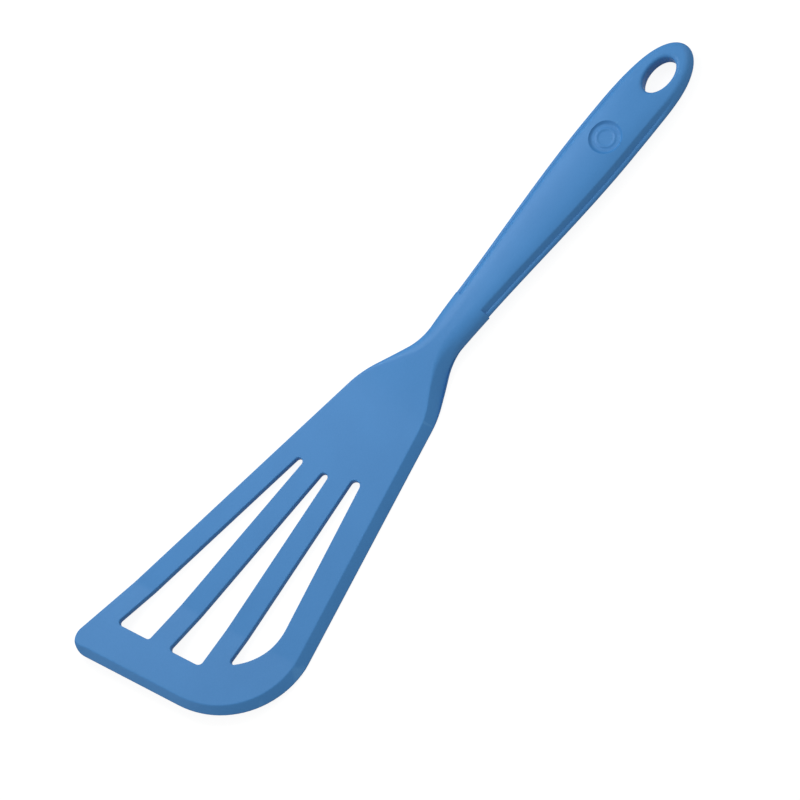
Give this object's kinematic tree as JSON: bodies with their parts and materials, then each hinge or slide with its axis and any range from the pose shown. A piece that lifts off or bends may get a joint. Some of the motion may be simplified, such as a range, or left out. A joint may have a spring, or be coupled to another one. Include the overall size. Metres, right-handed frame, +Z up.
{
  "type": "turner",
  "caption": "Slotted silicone turner with a skew-edged, side-bevelled flexible blade and a slim swelling handle with an oval hang hole, moulded over a stiff core, for lifting and turning food.",
  "frame": {"origin": "under the middle of the part, on the flat underside that it lies on", "axes": "+X from the butt of the handle to the front edge of the blade, +Y to the bevelled side, +Z up from the underside"},
  "size_m": [0.32, 0.0776, 0.0096],
  "materials": {
    "silicone": "even mid-blue silicone with a fine satin moulded surface",
    "nylon": "dark glass-filled nylon, matt as moulded"
  },
  "bodies": {
    "root": {"blade": "silicone", "handle": "silicone", "core": "nylon"}
  },
  "joints": []
}
